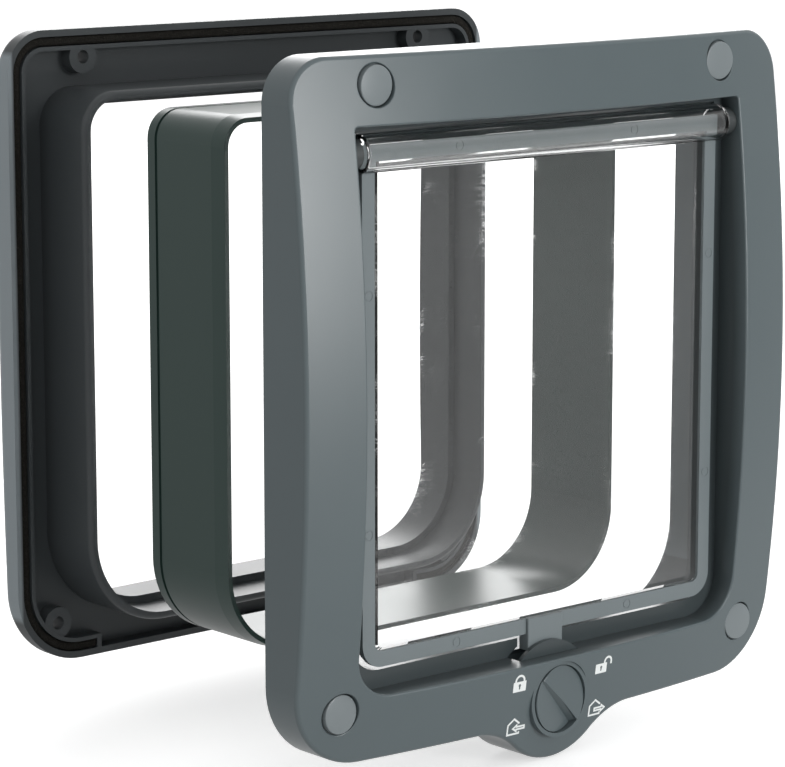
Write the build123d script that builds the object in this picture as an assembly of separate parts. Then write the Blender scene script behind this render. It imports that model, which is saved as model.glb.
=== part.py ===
from build123d import *
import os
from math import pi, sqrt

os.makedirs("parts", exist_ok=True)

# Row frame: +X right seen from indoors, +Y from indoors to outdoors, +Z up.
# y = 0 is the door side of the indoor frame. All sizes in mm.

# Far enough to cut or fill right through a piece
FAR = 60.0

# Recess of the indoor frame, its ledge and the way through
RECESS_W, RECESS_TOP, RECESS_LOW = 95.0, 94.4, -107.2
RECESS_R, RECESS_TOP_R = 15.5, 1.5
ARRIS_R = 0.7
LEDGE_Y = -11.5
LEDGE_SIDE, LEDGE_TOP, LEDGE_LOW = 5.0, 7.2, 6.7
PASS_W, PASS_TOP, PASS_LOW = RECESS_W - LEDGE_SIDE, RECESS_TOP - LEDGE_TOP, RECESS_LOW + LEDGE_LOW
PASS_R, PASS_TOP_R = 12.0, 3.0

# Indoor frame
STILE, RAIL_TOP, RAIL_LOW = 25.0, 24.4, 23.7
HALF_W = RECESS_W + STILE
TOP, BOTTOM = RECESS_TOP + RAIL_TOP, RECESS_LOW - RAIL_LOW
R_TOP, R_BOTTOM = 16.0, 29.0
FACE_R = 785.0
FACE_Y, FACE_Z = -32.3, -6.0
FACE_ROUND = 1.6
WALL = 2.8
RIB, RIB_FRONT = 2.0, -5.0
RIB_Z = (-70.0, -35.0, 0.0, 35.0, 70.0)
RIB_X = (-55.0, -20.0, 20.0, 55.0)

# Door screws and their caps, top pair and bottom pair
TOP_IN, TOP_DOWN = 35.0, 10.5
LOW_IN, LOW_UP = 18.8, 19.7
SCREW_TOP = (HALF_W - TOP_IN, TOP - TOP_DOWN)
SCREW_LOW = (HALF_W - LOW_IN, BOTTOM + LOW_UP)
CAP_R, CAP_GAP, CAP_SEAT = 7.1, 0.55, 2.4
CAP_PLUG_R, CAP_PLUG_L = 5.9, 2.5
CAP_DOME_R, CAP_ROUND, CAP_PROUD = 60.0, 0.4, 0.6
SEAT_ROUND = 0.35
WELL_R, WELL_WALL = 6.0, 3.6
HEAD_R, HEAD_H, HEAD_Y = 4.0, 3.0, -5.0
SHANK_R, SHANK_END, TIP_L = 2.0, 12.0, 4.0
SHANK_GAP = 0.25
CROSS_W, CROSS_L, CROSS_DEEP = 0.9, 4.4, 1.2

# Flap: clear pane with its barrel, strip clipped round it, catch at the bottom
HINGE_Y, HINGE_Z = LEDGE_Y - 2.5, PASS_TOP - 2.6
BARREL_R, BARREL_ROUND, BARREL_GAP = 7.0, 1.4, 0.9
HOOD_WALL, HOOD_BACK = 1.8, 1.5
JOURNAL_R, JOURNAL_GAP, RUN_GAP = 3.0, 0.4, 0.05
BEARING_GAP = 0.5
BARREL_W = PASS_W
JOURNAL_W = RECESS_W - JOURNAL_GAP
BEARING_WALL = 2.2
SIDE_GAP, LOW_GAP = 2.0, 2.0
PANE_W, PANE_LOW, PANE_R = PASS_W - SIDE_GAP, PASS_LOW + LOW_GAP, 9.0
PANE_FRONT, PANE_MID, PANE_BACK = HINGE_Y - 1.0, HINGE_Y + 1.0, HINGE_Y + 3.0
MARGIN, MARGIN_R, BEVEL = 5.8, 3.2, 1.3
STRIP_UP, STRIP_DOWN, PLATE_IN = 2.8, 3.0, 0.8
PIP_R, PIP_L, PIP_X = 1.5, 1.1, 43.5
PIP_Z = (35.0, -50.0)
MARK_R, MARK_W, MARK_DEEP = 1.9, 0.4, 0.15
CATCH_W, CATCH_PROUD, CATCH_ROUND, TONGUE_THIN = 8.8, 1.2, 0.6, 0.4

# Lock: dial on its pad, shaft, two-disc cam, cover on the door side
DIAL_DROP, DIAL_T = 15.7, 3.9
DIAL_Z = RECESS_LOW - DIAL_DROP
DIAL_R, DIAL_GAP, DIAL_ROUND = 12.5, 0.4, 0.5
PAD_R, PAD_Y, PAD_ROOT = 14.4, -24.3, -19.0
DIAL_SEAT_Y = PAD_Y + 3.2
DIAL_TOP_Y = DIAL_SEAT_Y - DIAL_T
GRIP_TURN, GRIP_TILT = 49.0, 6.0
STEEP_DEEP, STEEP_W, SHALLOW_DEEP = 2.0, 1.6, 2.0
DIAL_SHAFT_R, CAM_SPIGOT_R, CAM_BORE_R = 4.0, 3.0, 1.5
BUMP_R, BUMP_DROP, BUMP_BLEND = 28.0, 11.0, 30.0
BUMP_Z = RECESS_LOW - BUMP_DROP
CAM_T, CAM_SIDE_GAP = 1.7, 0.4
CATCH_FRONT = PANE_FRONT - CATCH_PROUD
CAM_FRONT = (CATCH_FRONT - CAM_SIDE_GAP - CAM_T, CATCH_FRONT - CAM_SIDE_GAP)
CAM_REAR = (PANE_BACK + CAM_SIDE_GAP, PANE_BACK + CAM_SIDE_GAP + CAM_T)
CAM_DOWN, CAM_LOW_R, CAM_LAP = 3.1, 14.0, 3.1
CAM_R = PANE_LOW - CAM_DOWN - DIAL_Z
CAM_HUB_R, CAM_NECK_R = 6.0, 3.45
SPIGOT_END = CAM_REAR[1] - 1.0
POCKET_R = CAM_R + 0.3
TONGUE_LOW, TONGUE_GAP = DIAL_Z + CAM_R - CAM_LAP, 1.1
COVER = (CAM_REAR[1] + CAM_SIDE_GAP, CAM_REAR[1] + CAM_SIDE_GAP + 2.6)
COVER_TOP = RECESS_LOW - 3.8
EAR_W, EAR_H, EAR_R, EAR_UP = 34.0, 6.0, 4.0, 2.4
COVER_SCREW_X, COVER_SCREW_R, COVER_SCREW_L = 28.0, 1.3, 7.9
COVER_HEAD_R, COVER_HEAD_H = 2.9, 1.8
LOCK_HALF_W = 38.0

# Tunnel, laid out between the frames
TUN_SIDE, TUN_OVER, TUN_UNDER = 8.0, 6.0, 6.5
TUN_W, TUN_TOP, TUN_LOW = PASS_W + TUN_SIDE, PASS_TOP + TUN_OVER, PASS_LOW - TUN_UNDER
TUN_R_TOP, TUN_R_LOW = 11.0, 32.0
TUN_WALL, TUN_L = 2.5, 45.0
TUN_LEAD, TUN_LEAD_IN = 7.0, 0.7
LINE_W, LINE_DEEP, LINE_BACK = 1.5, 0.8, 4.4
COLLAR_Y, COLLAR_WALL, SLIDE_GAP = 18.0, 2.6, 0.6
INDOOR_APART, OUTDOOR_APART = 31.6, 34.4
TUN_Y = (COLLAR_Y + INDOOR_APART, COLLAR_Y + INDOOR_APART + TUN_L)

# Outdoor frame
REAR_COLLAR, REAR_COLLAR_WALL, REAR_COLLAR_ROUND = 23.0, 3.2, 2.0
RIM_Y = TUN_Y[1] + OUTDOOR_APART + REAR_COLLAR
REAR_TOP, REAR_LOW = TOP + 0.4, BOTTOM + 4.3
REAR_DEEP, REAR_ROUND = 14.2, 3.6
REAR_FACE_R = 2500.0
REAR_WALL, GROOVE_W, GROOVE_D, RIB_W = 2.6, 3.8, 4.2, 1.6
SILL_W, SILL_END, SILL_H = 81.0, 2.0, 15.0
FLOOR_D, STEP_IN = 6.0, 6.0
BOSS_R, BOSS_SUNK, REAR_HOLE_R = 6.3, 0.4, 2.6
SEAL_H = 3.7


def outline(half_w, low, high, r_low, r_high):
    face = Pos(0, (low + high) / 2) * Rectangle(2 * half_w, high - low)
    if r_low > 0:
        face = fillet(face.vertices().group_by(Axis.Y)[0], r_low)
    if r_high > 0:
        face = fillet(face.vertices().group_by(Axis.Y)[-1], r_high)
    return face


def block(face, y0, y1):
    return extrude(Plane.XZ.offset(-y1) * face, y1 - y0)


def box(x0, x1, y0, y1, z0, z1):
    return Pos((x0 + x1) / 2, (y0 + y1) / 2, (z0 + z1) / 2) * Box(x1 - x0, y1 - y0, z1 - z0)


def rod(x, z, r, y0, y1):
    return Pos(x, (y0 + y1) / 2, z) * Rot(90, 0, 0) * Cylinder(r, y1 - y0)


def xrod(y, z, r, x0, x1):
    return Pos((x0 + x1) / 2, y, z) * Rot(0, 90, 0) * Cylinder(r, x1 - x0)


def face_ball(grow=0.0):
    return Pos(0, FACE_Y + FACE_R, FACE_Z) * Sphere(FACE_R + grow)


def face_y(x, z):
    return FACE_Y + FACE_R - sqrt(FACE_R ** 2 - x ** 2 - (z - FACE_Z) ** 2)


def screw_places():
    xt, zt = SCREW_TOP
    xl, zl = SCREW_LOW
    return [(-xt, zt), (xt, zt), (-xl, zl), (xl, zl)]


def recess_outline(grow=0.0):
    return outline(RECESS_W + grow, RECESS_LOW - grow, RECESS_TOP + grow, RECESS_R + grow, RECESS_TOP_R + grow)


# Section of the tunnel's outside, grown or shrunk by one distance all round
def tunnel_outline(grow=0.0):
    return outline(TUN_W + grow, TUN_LOW - grow, TUN_TOP + grow, TUN_R_LOW + grow, TUN_R_TOP + grow)


# Outline with the round bump under the dial
def front_outline(inset=0.0):
    face = outline(HALF_W - inset, BOTTOM + inset, TOP - inset, R_BOTTOM - inset, R_TOP - inset)
    face = face + Pos(0, BUMP_Z) * Circle(BUMP_R - inset)
    reach = sqrt((BUMP_R - inset) ** 2 - (BUMP_Z - BOTTOM - inset) ** 2)
    corners = [v for v in face.vertices()
               if abs(v.Y - BOTTOM - inset) < 0.01 and abs(abs(v.X) - reach) < 0.01]
    return fillet(corners, BUMP_BLEND + inset)


def lock_cover_face(gap=0.0):
    disc = Pos(0, DIAL_Z) * Circle(CAM_R + 0.2 + gap)
    ears = Pos(0, DIAL_Z + EAR_UP) * RectangleRounded(2 * (EAR_W + gap), 2 * (EAR_H + gap), EAR_R)
    return (disc + ears) & Pos(0, COVER_TOP + gap - FAR) * Rectangle(4 * FAR, 2 * FAR)


# Space behind the face, with walls, ribs and solid places left standing
def hollow_back():
    hollow = block(front_outline(WALL), -FAR, 0) & face_ball(-WALL)
    hollow -= block(recess_outline(WALL), -FAR, FAR)
    for x, z in screw_places():
        hollow -= rod(x, z, WELL_R + WELL_WALL, -FAR, FAR)
        hollow -= box(min(x, x * 1.3), max(x, x * 1.3), -FAR, FAR, z - RIB / 2, z + RIB / 2)
    hollow -= box(-LOCK_HALF_W, LOCK_HALF_W, -FAR, FAR, DIAL_Z - FAR, RECESS_LOW)
    for z in RIB_Z:
        hollow -= box(-HALF_W, HALF_W, -FAR, RIB_FRONT, z - RIB / 2, z + RIB / 2)
    for x in RIB_X:
        hollow -= box(x - RIB / 2, x + RIB / 2, -FAR, RIB_FRONT, RECESS_TOP, TOP)
        hollow -= box(x - RIB / 2, x + RIB / 2, -FAR, RIB_FRONT, BOTTOM, RECESS_LOW)
    return hollow


def lock_seats():
    cut = rod(0, DIAL_Z, DIAL_R + DIAL_GAP, -FAR, DIAL_SEAT_Y)
    cut += rod(0, DIAL_Z, DIAL_SHAFT_R + RUN_GAP, DIAL_TOP_Y, CAM_FRONT[1])
    cut += rod(0, DIAL_Z, POCKET_R, CAM_FRONT[0] - CAM_SIDE_GAP, COVER[0])
    slot_w = CATCH_W + TONGUE_GAP
    cut += box(-slot_w, slot_w, CATCH_FRONT - 0.5, 1, TONGUE_LOW - TONGUE_GAP, PANE_LOW)
    cut += block(lock_cover_face(0.3), COVER[0], 1)
    for side in (-1, 1):
        cut += rod(side * COVER_SCREW_X, DIAL_Z + EAR_UP, COVER_SCREW_R, COVER[1] - COVER_SCREW_L - 1.5, COVER[0] + 1)
    return cut


def front_frame():
    body = block(front_outline(), -FAR, 0) & face_ball()
    front = body.faces().filter_by(GeomType.SPHERE)
    body = fillet(front.edges(), FACE_ROUND)
    # recess with its arris, then the hollow back and the collar that takes the tunnel
    body = body - block(recess_outline(), -FAR, LEDGE_Y)
    for x, z in screw_places():
        body -= rod(x, z, CAP_R + CAP_GAP, -FAR, face_y(x, z) + CAP_SEAT)
    arris = [e for e in body.faces().filter_by(GeomType.SPHERE).edges()
             if abs(e.center().X) < RECESS_W + 1 and RECESS_LOW - 1 < e.center().Z < RECESS_TOP + 1]
    body = fillet(arris, ARRIS_R)
    rims = [e for e in body.faces().filter_by(GeomType.SPHERE).edges()
            if abs(e.length - 2 * pi * (CAP_R + CAP_GAP)) < 0.5]
    body = fillet(rims, SEAT_ROUND) - hollow_back()
    collar = block(tunnel_outline(SLIDE_GAP + COLLAR_WALL), -2.0, COLLAR_Y)
    body = body + collar - block(tunnel_outline(SLIDE_GAP), 0, COLLAR_Y + 1)
    # way through and the barrel's pocket
    body -= block(outline(PASS_W, PASS_LOW, PASS_TOP, PASS_R, PASS_TOP_R), LEDGE_Y - 1, 1)
    reach = BARREL_W + BEARING_GAP + 0.1
    body -= xrod(HINGE_Y, HINGE_Z, BARREL_R + BARREL_GAP, -reach, reach)
    body -= xrod(HINGE_Y, HINGE_Z, JOURNAL_R + 0.5, -RECESS_W, RECESS_W)
    # pad round the dial, sunk at the top and proud at the bottom
    body = body - rod(0, DIAL_Z, PAD_R, -FAR, PAD_Y) + rod(0, DIAL_Z, PAD_R, PAD_Y, PAD_ROOT) - lock_seats()
    # screw holes and cap seats
    for x, z in screw_places():
        y = face_y(x, z)
        body -= rod(x, z, WELL_R, y - 5, HEAD_Y)
        body -= rod(x, z, SHANK_R + SHANK_GAP, y, 1)
    return body


def screw_cap(x, z):
    y = face_y(x, z)
    head = rod(x, z, CAP_R, y - 4, y + CAP_SEAT) & Pos(x, y - CAP_PROUD + CAP_DOME_R, z) * Sphere(CAP_DOME_R)
    head = fillet(head.faces().filter_by(GeomType.SPHERE).edges(), CAP_ROUND)
    return head + rod(x, z, CAP_PLUG_R, y + CAP_SEAT - 0.5, y + CAP_SEAT + CAP_PLUG_L)


def door_screw(x, z):
    w, h, top = CROSS_W / 2, CROSS_L / 2, HEAD_Y - HEAD_H
    head = rod(x, z, HEAD_R, top, HEAD_Y)
    head -= box(x - h, x + h, top - 1, top + CROSS_DEEP, z - w, z + w)
    head -= box(x - w, x + w, top - 1, top + CROSS_DEEP, z - h, z + h)
    shank = rod(x, z, SHANK_R, HEAD_Y - 0.5, SHANK_END)
    tip = Pos(x, SHANK_END + TIP_L / 2, z) * Rot(-90, 0, 0) * Cone(SHANK_R, SHANK_R / 5, TIP_L)
    return head + shank + tip


# Round eye for the journal, on a foot that stands on the ledge
def hinge_bearing(side):
    x0, x1 = sorted((side * (BARREL_W + BEARING_GAP), side * RECESS_W))
    r = JOURNAL_R + BEARING_WALL
    body = xrod(HINGE_Y, HINGE_Z, r, x0, x1) + box(x0, x1, HINGE_Y, LEDGE_Y, HINGE_Z - r, HINGE_Z + r)
    body -= box(x0 - 1, x1 + 1, LEDGE_Y, FAR, HINGE_Z - 2 * r, HINGE_Z + 2 * r)
    return body - xrod(HINGE_Y, HINGE_Z, JOURNAL_R + RUN_GAP, x0 - 1, x1 + 1)


def pip_places():
    x, low = PANE_W - MARGIN / 2, PANE_LOW + MARGIN / 2
    sides = [(side * x, z) for side in (-1, 1) for z in PIP_Z]
    return sides + [(-PIP_X, low), (PIP_X, low)]


# Inside edge of the strip, which is also the edge of the pane's raised middle
def window_outline():
    return outline(PANE_W - MARGIN, PANE_LOW + MARGIN, HINGE_Z - STRIP_DOWN, MARGIN_R, 0)


def strip_face():
    return outline(PANE_W, PANE_LOW, HINGE_Z + STRIP_UP, PANE_R, 0) - window_outline()


# Clear hood round the hinge line: closed ends, open at the back above the pane
def hinge_hood():
    hood = xrod(HINGE_Y, HINGE_Z, BARREL_R, -BARREL_W, BARREL_W)
    hood = fillet(hood.edges().filter_by(GeomType.CIRCLE), BARREL_ROUND)
    hood -= xrod(HINGE_Y, HINGE_Z, BARREL_R - HOOD_WALL, -PANE_W, PANE_W)
    hood -= box(-PANE_W, PANE_W, HINGE_Y + HOOD_BACK, FAR, HINGE_Z - STRIP_DOWN, HINGE_Z + FAR)
    for side in (-1, 1):
        x0, x1 = sorted((side * (PANE_W + 1), side * JOURNAL_W))
        hood += xrod(HINGE_Y, HINGE_Z, JOURNAL_R, x0, x1)
    return hood


def flap_pane():
    plate = outline(PANE_W - PLATE_IN, PANE_LOW + PLATE_IN, HINGE_Z - STRIP_DOWN, PANE_R - PLATE_IN, 0)
    raised = block(window_outline(), PANE_FRONT, PANE_MID)
    raised = chamfer(raised.faces().sort_by(Axis.Y)[0].edges().filter_by(
        lambda e: e.center().Z < HINGE_Z - STRIP_DOWN - 1), BEVEL)
    body = block(plate, PANE_MID, PANE_BACK) + raised + (hinge_hood() - block(strip_face(), PANE_FRONT, PANE_MID))
    for x, z in pip_places():
        body += rod(x, z, PIP_R, PANE_MID - PIP_L, PANE_MID)
    return body


# Strip with blind holes for the pane's pips and a shallow moulded ring in front of each
def flap_strip():
    body = block(strip_face(), PANE_FRONT, PANE_MID)
    for x, z in pip_places():
        body -= rod(x, z, PIP_R, PANE_MID - PIP_L, PANE_MID + 1)
    for x, z in pip_places() + [(-PIP_X, HINGE_Z), (PIP_X, HINGE_Z)]:
        ring = rod(x, z, MARK_R, PANE_FRONT - 1, PANE_FRONT + MARK_DEEP)
        body -= ring - rod(x, z, MARK_R - MARK_W, PANE_FRONT - 2, PANE_FRONT + 1)
    return body


# Grey head over the strip, with a tongue below the pane that the cam's discs hold
def flap_catch():
    head = box(-CATCH_W, CATCH_W, CATCH_FRONT, PANE_FRONT, TONGUE_LOW, PANE_LOW + MARGIN)
    head = fillet(head.edges().filter_by(Axis.Z).group_by(Axis.Y)[0], CATCH_ROUND)
    tongue = box(-CATCH_W, CATCH_W, PANE_FRONT, PANE_BACK - TONGUE_THIN, TONGUE_LOW, PANE_LOW)
    return head + tongue + box(-CATCH_W, CATCH_W, PANE_MID, PANE_BACK - TONGUE_THIN, PANE_LOW, PANE_LOW + PLATE_IN)


# Long cutter along X with its section given as (depth, height) corners
def long_cut(*corners):
    return extrude(Plane.YZ * make_face(Polyline(*corners, close=True)), FAR, both=True)


def lock_dial():
    body = rod(0, DIAL_Z, DIAL_R, DIAL_TOP_Y, DIAL_SEAT_Y)
    body = fillet(body.edges().filter_by(GeomType.CIRCLE).group_by(Axis.Y)[0], DIAL_ROUND)
    # a steep cut that deepens along the crest, and a long slope on its other side
    w = DIAL_R + 1
    steep = long_cut((-5, 0.5), (0, 0), (STEEP_DEEP, -STEEP_W), (0.2, -w), (-5, -w))
    slope = long_cut((-5, 0.9), (0, 0.6), (SHALLOW_DEEP, w), (-5, w))
    body -= Pos(0, DIAL_TOP_Y, DIAL_Z) * Rot(0, GRIP_TURN, 0) * (Rot(0, 0, GRIP_TILT) * steep + slope)
    body += rod(0, DIAL_Z, DIAL_SHAFT_R, DIAL_SEAT_Y - 0.5, CAM_FRONT[0])
    return body + rod(0, DIAL_Z, CAM_SPIGOT_R, CAM_FRONT[0] - 0.5, SPIGOT_END)


# A low disc with raised sectors; each sector is (first angle, last angle) in degrees from +Z
def cam_disc(span, sectors):
    face = Circle(CAM_LOW_R)
    for a0, a1 in sectors:
        rays = [Vector(0, FAR).rotate(Axis.Z, -a) for a in (a0, (2 * a0 + a1) / 3, (a0 + 2 * a1) / 3, a1)]
        face = face + (Circle(CAM_R) & make_face(Polyline((0, 0), *[(v.X, v.Y) for v in rays], close=True)))
    return block(Pos(0, DIAL_Z) * face, *span)


# Front sectors stop the flap swinging in, the rear sector stops it swinging out
FRONT_SECTORS = [(-46, 46), (134, 226)]
REAR_SECTORS = [(134, 316)]


def lock_cam():
    body = cam_disc(CAM_FRONT, FRONT_SECTORS)
    body += cam_disc(CAM_REAR, REAR_SECTORS)
    body += rod(0, DIAL_Z, CAM_HUB_R, CAM_FRONT[1] - 0.2, CAM_REAR[0] + 0.2)
    body += rod(0, DIAL_Z, CAM_NECK_R, CAM_REAR[1] - 0.2, COVER[1] - 0.4)
    body -= rod(0, DIAL_Z, CAM_SPIGOT_R, CAM_FRONT[0] - 1, SPIGOT_END)
    return body - rod(0, DIAL_Z, CAM_BORE_R, CAM_FRONT[0], 0)


def cam_screw():
    seat = COVER[1] - 0.4
    return rod(0, DIAL_Z, 2.8, seat, seat + 1.8) + rod(0, DIAL_Z, CAM_BORE_R - 0.1, SPIGOT_END, seat + 0.2)


def lock_cover():
    body = block(lock_cover_face(), *COVER)
    body -= rod(0, DIAL_Z, CAM_NECK_R + RUN_GAP, COVER[0] - 1, 0)
    for side in (-1, 1):
        body -= rod(side * COVER_SCREW_X, DIAL_Z + EAR_UP, COVER_SCREW_R + 0.4, COVER[0] - 1, 0)
    return body


def cover_screw(side):
    x, z = side * COVER_SCREW_X, DIAL_Z + EAR_UP
    head = rod(x, z, COVER_HEAD_R, COVER[1], COVER[1] + COVER_HEAD_H)
    return head + rod(x, z, COVER_SCREW_R, COVER[1] - COVER_SCREW_L, COVER[1] + 0.2)


def tunnel():
    y0, y1 = TUN_Y
    body = block(tunnel_outline(), y0, y1)
    near = body.faces().sort_by(Axis.Y)[0]
    body = chamfer(near.edges(), TUN_LEAD_IN, TUN_LEAD, reference=near)
    # fine line round the outdoor end
    y2 = y1 - LINE_BACK
    line = block(tunnel_outline(1.0), y2 - LINE_W, y2) - block(tunnel_outline(-LINE_DEEP), y2 - FAR, y2 + FAR)
    return body - line - block(tunnel_outline(-TUN_WALL), y0 - 1, y1 + 1)


def rear_outline(inset):
    return outline(HALF_W - inset, REAR_LOW + inset, REAR_TOP - inset, R_BOTTOM - inset, R_TOP - inset)


def lower_edge(half_w):
    return Pos(0, REAR_LOW) * Rectangle(2 * half_w, 2 * SILL_H)


# Groove round the rim, closed off along the lower edge
def groove_face():
    ring = rear_outline(REAR_WALL) - rear_outline(REAR_WALL + GROOVE_W)
    return ring - lower_edge(SILL_W + SILL_END)


# Shallow inside of the rim, with the rib left beside the groove and a boss round each screw
def rim_floor(collar_face):
    inside = rear_outline(REAR_WALL + GROOVE_W + RIB_W) + (rear_outline(REAR_WALL) & lower_edge(SILL_W))
    floor = block(inside - collar_face, RIM_Y - 1, RIM_Y + FLOOR_D)
    for x, z in screw_places():
        floor -= rod(x, z, BOSS_R, RIM_Y + BOSS_SUNK, RIM_Y + FAR)
    return floor


def rear_frame():
    ball = Pos(0, RIM_Y + REAR_DEEP - REAR_FACE_R, FACE_Z) * Sphere(REAR_FACE_R)
    body = block(rear_outline(0), RIM_Y, RIM_Y + FAR) & ball
    body = fillet(body.faces().filter_by(GeomType.SPHERE).edges(), REAR_ROUND)
    ring = tunnel_outline(SLIDE_GAP + REAR_COLLAR_WALL)
    body -= rim_floor(ring)
    body -= block(groove_face(), RIM_Y - 1, RIM_Y + GROOVE_D)
    # deep collar that takes the tunnel, with a stop step inside
    collar = block(ring, RIM_Y - REAR_COLLAR, RIM_Y + 1)
    body += fillet(collar.faces().sort_by(Axis.Y)[0].edges(), REAR_COLLAR_ROUND)
    body -= block(tunnel_outline(SLIDE_GAP), RIM_Y - FAR, RIM_Y - STEP_IN)
    body -= block(tunnel_outline(-TUN_WALL), RIM_Y - FAR, RIM_Y + FAR)
    for x, z in screw_places():
        body -= rod(x, z, REAR_HOLE_R, RIM_Y - 5, RIM_Y + FAR)
    return body


def foam_seal():
    return block(groove_face(), RIM_Y + GROOVE_D - SEAL_H, RIM_Y + GROOVE_D)


def save(name, shape):
    export_step(shape, "parts/" + name + ".step")


save("front_frame", front_frame())
for i, (x, z) in enumerate(screw_places(), 1):
    save("screw_cap_%d" % i, screw_cap(x, z))
    save("door_screw_%d" % i, door_screw(x, z))
save("hinge_bearing_left", hinge_bearing(-1))
save("hinge_bearing_right", hinge_bearing(1))
save("flap_pane", flap_pane())
save("flap_strip", flap_strip())
save("flap_catch", flap_catch())
save("lock_dial", lock_dial())
save("lock_cam", lock_cam())
save("cam_screw", cam_screw())
save("lock_cover", lock_cover())
save("cover_screw_1", cover_screw(-1))
save("cover_screw_2", cover_screw(1))
save("tunnel", tunnel())
save("rear_frame", rear_frame())
save("foam_seal", foam_seal())
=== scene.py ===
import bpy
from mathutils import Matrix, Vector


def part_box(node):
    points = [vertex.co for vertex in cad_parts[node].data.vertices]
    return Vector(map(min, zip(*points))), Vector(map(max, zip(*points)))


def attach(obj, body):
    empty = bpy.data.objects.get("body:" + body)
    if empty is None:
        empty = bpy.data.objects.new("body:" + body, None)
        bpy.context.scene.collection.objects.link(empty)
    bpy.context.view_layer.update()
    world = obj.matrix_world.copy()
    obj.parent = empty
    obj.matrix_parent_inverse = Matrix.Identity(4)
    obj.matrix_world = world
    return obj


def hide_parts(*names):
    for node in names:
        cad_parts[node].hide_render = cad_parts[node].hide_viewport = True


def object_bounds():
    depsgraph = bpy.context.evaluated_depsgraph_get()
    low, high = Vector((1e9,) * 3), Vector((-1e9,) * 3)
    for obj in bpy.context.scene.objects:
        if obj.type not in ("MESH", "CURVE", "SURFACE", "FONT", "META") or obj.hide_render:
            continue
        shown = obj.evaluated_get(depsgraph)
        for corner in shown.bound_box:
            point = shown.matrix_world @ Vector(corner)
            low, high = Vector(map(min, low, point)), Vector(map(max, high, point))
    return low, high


bl_info = {
    "name": "Cat Flap",
    "version": (1, 0, 0),
    "blender": (4, 5, 0),
    "location": "View3D > Sidebar > Cat Flap",
    "description": "Finishes a locking cat flap laid out along its axis, and sets its studio",
    "category": "Object",
}

from math import pi, radians

import bpy
import numpy as np
from bpy.props import FloatProperty, FloatVectorProperty, PointerProperty
from bpy.types import Operator, Panel, PropertyGroup
from mathutils import Vector

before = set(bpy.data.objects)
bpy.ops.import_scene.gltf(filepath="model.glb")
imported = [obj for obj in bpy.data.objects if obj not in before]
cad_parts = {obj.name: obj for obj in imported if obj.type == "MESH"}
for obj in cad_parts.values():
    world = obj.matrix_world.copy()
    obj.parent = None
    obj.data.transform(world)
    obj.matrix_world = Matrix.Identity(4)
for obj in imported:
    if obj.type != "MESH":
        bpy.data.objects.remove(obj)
CAD_BOX = [list(corner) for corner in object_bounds()]
MM = 0.001

# Bowed face of the indoor frame: radius of the sphere that shapes it, and Y and Z of its nearest point
FACE_R, FACE_Y, FACE_Z = 785.0, -32.3, -6.0
# Recess of the indoor frame, to just inside its arris
RECESS_W, RECESS_TOP, RECESS_LOW = 95.2, 94.6, -107.4
# Depths in the recess where its painted shade (a darker colour) starts and is full, and the colour's share
# left there
RECESS_START, RECESS_FULL, RECESS_SHADE = 0.8, 6.0, 0.50

# Colours that no setting changes: hinge bearings and lock cover, dust
DARK_PLASTIC = (0.040, 0.046, 0.047)
DUST = (0.55, 0.56, 0.56)
# How much dust lies on the plastic's upper sides
DUST_AMOUNT = 0.05

# Scratches: slant in degrees and stretch of each set, width of a scratch, how rare their patches are
SCRATCH_SETS = ((35, 9.0), (-62, 14.0))
SCRATCH_WIDTH, SCRATCH_PATCHES = 0.0022, 0.54

# Door screws: radius at the thread's root and crest
SCREW_ROOT_R, SCREW_CREST_R = 1.95, 2.45
# Thread: pitch, turns, distance from the screw's point, height left at its ends, half its foot per pitch
THREAD_PITCH, THREAD_TURNS, THREAD_TIP = 1.5, 10, 3.0
THREAD_END, THREAD_FOOT = 0.02, 0.28
# Points in one turn
THREAD_STEPS = 32

# Symbols: how far the ink stands off the face, and a padlock bow's line over the other lines' width
INK, BOW_LINE = 0.04, 1.15
# Padlock bodies as left, right, foot and top. Bows as centre, radius, left leg and right leg
SHUT_BODY, SHUT_BOW = (-23.9, -17.7, -116.4, -112.5), (-20.8, -112.3, 2.05, 0.4, 0.4)
OPEN_BODY, OPEN_BOW = (18.0, 23.9, -116.8, -113.0), (24.35, -112.7, 1.75, 0.4, 1.2)
# Keyhole: rise of its centre over the body's middle, radius, half its slot's width, the slot's length
KEYHOLE_RISE, KEYHOLE_R, KEYHOLE_SLOT, KEYHOLE_LOW = 0.45, 0.55, 0.28, 1.5
# Points of a padlock body's outline, and of its keyhole's
BODY_STEPS = 64
# Houses as left, right, foot, eave, apex and top of the right wall. Arrows as tail, tip and height
IN_HOUSE, IN_ARROW = (-24.4, -18.8, -132.9, -129.1, -127.0, -132.2), (-16.3, -21.8, -130.8)
OUT_HOUSE, OUT_ARROW = (17.2, 22.8, -133.2, -129.4, -127.4, -132.5), (19.9, 25.3, -131.2)
# Arrows: half the shaft's width, the head's length and half the head's width
ARROW_SHAFT, ARROW_HEAD, ARROW_HALF = 0.5, 1.7, 1.15

# Outdoor frame: rim's outline, corner radii, the groove's centre inside it and where the groove stops
RIM_W, RIM_TOP, RIM_LOW = 120.0, 119.2, -126.6
RIM_R_TOP, RIM_R_LOW = 16.0, 29.0
GROOVE_IN, GROOVE_END = 4.5, 83.0
# Left and right sides of the rim, made lighter as painted light: how far in it starts, its rise, the colour's
# factor
SIDE_IN, SIDE_RISE, SIDE_LIGHT = 2.6, 1.2, 5.2
# Foam strip in the groove: half its width, half its depth, how uneven its cut faces are
FOAM_W, FOAM_D, FOAM_ROUGH = 1.78, 1.84, 0.06
# The strip's waves: how they run along it, and round its section
FOAM_WAVES = ((0.9, 3), (0.37, -2), (2.3, 5))
# Points round the strip's section, and the step along it
FOAM_STEPS, FOAM_STEP = 28, 1.2

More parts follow.
